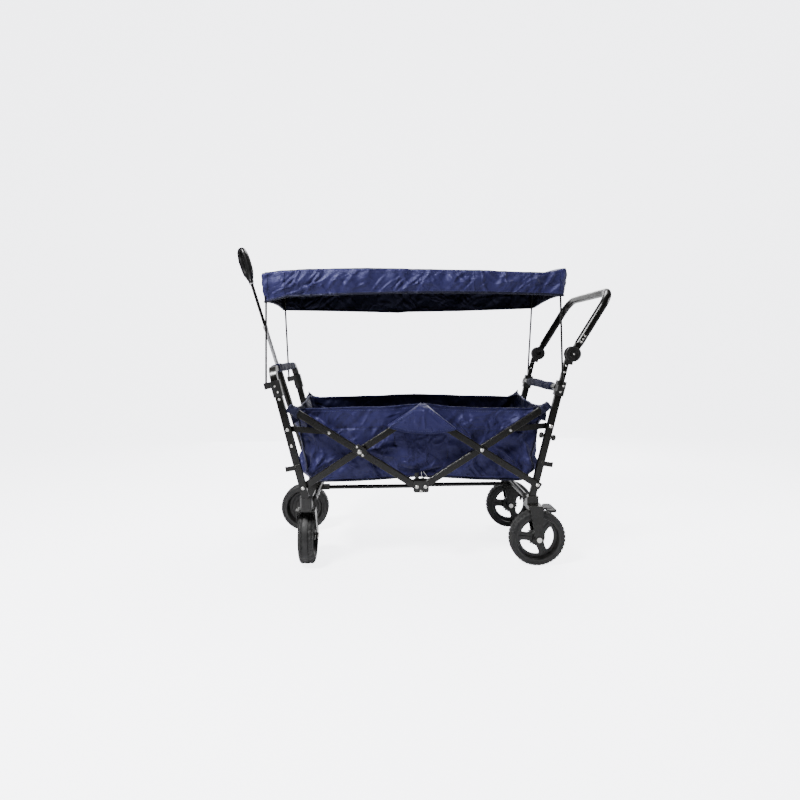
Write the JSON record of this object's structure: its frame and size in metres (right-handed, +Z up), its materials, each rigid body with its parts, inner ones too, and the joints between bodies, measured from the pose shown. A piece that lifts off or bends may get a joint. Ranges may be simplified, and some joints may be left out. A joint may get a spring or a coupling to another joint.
{
  "type": "folding camp wagon",
  "caption": "Scissor-folding camp wagon: fabric basket, flat canopy on thin poles, swivel front casters, telescoping pull handle and tilting push bar.",
  "frame": {"origin": "on the ground in the wagon's middle plane, midway between the front and rear posts' lower pivots", "axes": "+Z up; -X to the front, where the pull handle is; +X to the rear, where the push bar is; -Y to the wagon's left side"},
  "size_m": [1.3546, 0.506, 1.1559],
  "materials": {
    "black_paint": "gloss powder coat",
    "zinc": "bright zinc",
    "chrome": "polished",
    "black_plastic": "moulded, fine grain",
    "navy_fabric": "woven polyester, slight sheen",
    "tyre": "solid tyre"
  },
  "bodies": {
    "hub_body": {"bottom_hubs": "black_plastic", "bottom_hub_rivets": "zinc", "canopy_cover": "navy_fabric"},
    "front_outer_bars": {"left_front_outer_bar": "black_paint", "right_front_outer_bar": "black_paint", "front_bar_plugs": "black_plastic", "front_crossing_rivets": "zinc"},
    "front_inner_bars": {"left_front_inner_bar": "black_paint", "right_front_inner_bar": "black_paint"},
    "top_hub_body": {"top_hubs": "black_plastic", "top_hub_rivets": "zinc", "basket_shell": "navy_fabric"},
    "rear_inner_bars": {"left_rear_inner_bar": "black_paint", "right_rear_inner_bar": "black_paint", "rear_bar_plugs": "black_plastic", "rear_crossing_rivets": "zinc"},
    "rear_outer_bars": {"left_rear_outer_bar": "black_paint", "right_rear_outer_bar": "black_paint"},
    "front_link_pair": {"front_links": "black_paint"},
    "rear_link_pair": {"rear_links": "black_paint"},
    "front_floor_half": {"front_floor_tube": "black_paint"},
    "rear_floor_half": {"rear_floor_tube": "black_paint"},
    "front_frame": {"front_frame_tube": "black_paint", "front_crossbar_sleeve": "navy_fabric", "front_cross_tube": "black_paint", "front_pivot_rivets": "zinc", "front_strap_hooks": "black_paint", "front_pole_brackets": "black_plastic", "front_canopy_poles": "black_paint", "caster_sockets": "black_plastic"},
    "handle_outer": {"handle_outer_tube": "black_paint"},
    "handle_middle": {"handle_middle_tube": "chrome"},
    "handle_upper": {"handle_upper_tube": "black_paint", "handle_grip": "black_plastic"},
    "left_caster": {"left_caster_fork": "black_paint", "left_caster_axle": "zinc"},
    "right_caster": {"right_caster_fork": "black_paint", "right_caster_axle": "zinc"},
    "left_front_wheel": {"left_front_rim": "black_plastic", "left_front_tyre": "tyre"},
    "right_front_wheel": {"right_front_rim": "black_plastic", "right_front_tyre": "tyre"},
    "rear_frame": {"rear_frame_tube": "black_paint", "rear_crossbar_sleeve": "navy_fabric", "rear_pivot_rivets": "zinc", "rear_strap_hooks": "black_paint", "rear_pole_brackets": "black_plastic", "rear_canopy_poles": "black_paint", "rear_fork_frame": "black_paint", "rear_axles": "zinc"},
    "left_rear_wheel": {"left_rear_rim": "black_plastic", "left_rear_tyre": "tyre"},
    "right_rear_wheel": {"right_rear_rim": "black_plastic", "right_rear_tyre": "tyre"},
    "push_stems": {"push_bar_stems": "black_paint", "push_bar_knuckles": "black_plastic"},
    "push_handle": {"push_bar": "black_paint"},
    "left_button": {"left_knuckle_button": "black_plastic"},
    "right_button": {"right_knuckle_button": "black_plastic"},
    "brake_pedal": {"brake_bar": "black_paint"}
  },
  "joints": [
    {"name": "frame_fold", "type": "hinge", "parent": "hub_body", "child": "front_outer_bars", "pos_m": [-0.015, 0, 0.295], "axis": [0, 1, 0], "range_deg": [0, 38], "deforming": ["basket_shell", "canopy_cover"]},
    {"name": "front_inner_pivot", "type": "hinge", "parent": "front_outer_bars", "child": "front_inner_bars", "pos_m": [-0.2115, 0, 0.421], "axis": [0, 1, 0], "range_deg": [-76.5, 0]},
    {"name": "top_hub_pivot", "type": "hinge", "parent": "front_inner_bars", "child": "top_hub_body", "pos_m": [-0.015, 0, 0.547], "axis": [0, 1, 0], "range_deg": [0, 38.5]},
    {"name": "front_frame_pivot", "type": "hinge", "parent": "front_inner_bars", "child": "front_frame", "pos_m": [-0.408, 0, 0.295], "axis": [0, 1, 0], "range_deg": [0, 44.97]},
    {"name": "rear_inner_pivot", "type": "hinge", "parent": "hub_body", "child": "rear_inner_bars", "pos_m": [0.015, 0, 0.295], "axis": [0, 1, 0], "range_deg": [-38.5, 0]},
    {"name": "rear_outer_pivot", "type": "hinge", "parent": "rear_inner_bars", "child": "rear_outer_bars", "pos_m": [0.2115, 0, 0.421], "axis": [0, 1, 0], "range_deg": [0, 76.5]},
    {"name": "rear_frame_pivot", "type": "hinge", "parent": "rear_outer_bars", "child": "rear_frame", "pos_m": [0.408, 0, 0.295], "axis": [0, 1, 0], "range_deg": [-44.97, 0]},
    {"name": "front_link_pivot", "type": "hinge", "parent": "front_frame", "child": "front_link_pair", "pos_m": [-0.45649, 0, 0.49933], "axis": [0, 1, 0], "range_deg": [-76.04, 0]},
    {"name": "rear_link_pivot", "type": "hinge", "parent": "rear_frame", "child": "rear_link_pair", "pos_m": [0.45649, 0, 0.49933], "axis": [0, 1, 0], "range_deg": [0, 76.04]},
    {"name": "front_floor_pivot", "type": "hinge", "parent": "front_frame", "child": "front_floor_half", "pos_m": [-0.35, -0.009, 0.24], "axis": [0, 1, 0], "range_deg": [-77.25, 0]},
    {"name": "rear_floor_pivot", "type": "hinge", "parent": "rear_frame", "child": "rear_floor_half", "pos_m": [0.35, 0.009, 0.24], "axis": [0, 1, 0], "range_deg": [0, 77.25]},
    {"name": "left_caster_swivel", "type": "hinge", "parent": "front_frame", "child": "left_caster", "pos_m": [-0.405, -0.215, 0.24], "axis": [0, 0, 1], "continuous": true},
    {"name": "right_caster_swivel", "type": "hinge", "parent": "front_frame", "child": "right_caster", "pos_m": [-0.405, 0.215, 0.24], "axis": [0, 0, 1], "continuous": true},
    {"name": "left_front_wheel_spin", "type": "hinge", "parent": "left_caster", "child": "left_front_wheel", "pos_m": [-0.405, -0.153, 0.1], "axis": [1, 0, 0], "continuous": true},
    {"name": "right_front_wheel_spin", "type": "hinge", "parent": "right_caster", "child": "right_front_wheel", "pos_m": [-0.467, 0.215, 0.1], "axis": [0, 1, 0], "continuous": true},
    {"name": "left_rear_wheel_spin", "type": "hinge", "parent": "rear_frame", "child": "left_rear_wheel", "pos_m": [0.4155, -0.212, 0.1], "axis": [0, 1, 0], "continuous": true},
    {"name": "right_rear_wheel_spin", "type": "hinge", "parent": "rear_frame", "child": "right_rear_wheel", "pos_m": [0.4155, 0.212, 0.1], "axis": [0, 1, 0], "continuous": true},
    {"name": "handle_pivot", "type": "hinge", "parent": "front_frame", "child": "handle_outer", "pos_m": [-0.401, 0, 0.262], "axis": [0, -1, 0], "range_deg": [0, 58]},
    {"name": "handle_middle_slide", "type": "slide", "parent": "handle_outer", "child": "handle_middle", "axis": [-0.2756, 0, 0.9613], "range_m": [-0.13, 0]},
    {"name": "handle_upper_slide", "type": "slide", "parent": "handle_middle", "child": "handle_upper", "axis": [-0.2756, 0, 0.9613], "range_m": [-0.155, 0]},
    {"name": "push_height_slide", "type": "slide", "parent": "rear_frame", "child": "push_stems", "axis": [0.2309, 0, 0.973], "range_m": [-0.018, 0.07]},
    {"name": "push_bar_tilt", "type": "hinge", "parent": "push_stems", "child": "push_handle", "pos_m": [0.53, 0, 0.751], "axis": [0, 1, 0], "range_deg": [-20, 92]},
    {"name": "left_button_press", "type": "slide", "parent": "push_stems", "child": "left_button", "axis": [0, 1, 0], "range_m": [0, 0.004]},
    {"name": "right_button_press", "type": "slide", "parent": "push_stems", "child": "right_button", "axis": [0, -1, 0], "range_m": [0, 0.004]},
    {"name": "brake_pedal_hinge", "type": "hinge", "parent": "rear_frame", "child": "brake_pedal", "pos_m": [0.455, 0, 0.15], "axis": [0, 1, 0], "range_deg": [0, 18]}
  ],
  "couplings": [
    {"joint": "front_inner_pivot", "follows": "frame_fold", "ratio": -2},
    {"joint": "top_hub_pivot", "follows": "frame_fold", "ratio": 1},
    {"joint": "front_frame_pivot", "follows": "frame_fold", "ratio": 1.1704},
    {"joint": "rear_inner_pivot", "follows": "frame_fold", "ratio": -1},
    {"joint": "rear_outer_pivot", "follows": "frame_fold", "ratio": 2},
    {"joint": "rear_frame_pivot", "follows": "frame_fold", "ratio": -1.1704},
    {"joint": "front_link_pivot", "follows": "frame_fold", "ratio": -1.9878},
    {"joint": "rear_link_pivot", "follows": "frame_fold", "ratio": 1.9878},
    {"joint": "front_floor_pivot", "follows": "frame_fold", "ratio": -2.0198},
    {"joint": "rear_floor_pivot", "follows": "frame_fold", "ratio": 2.0198}
  ]
}
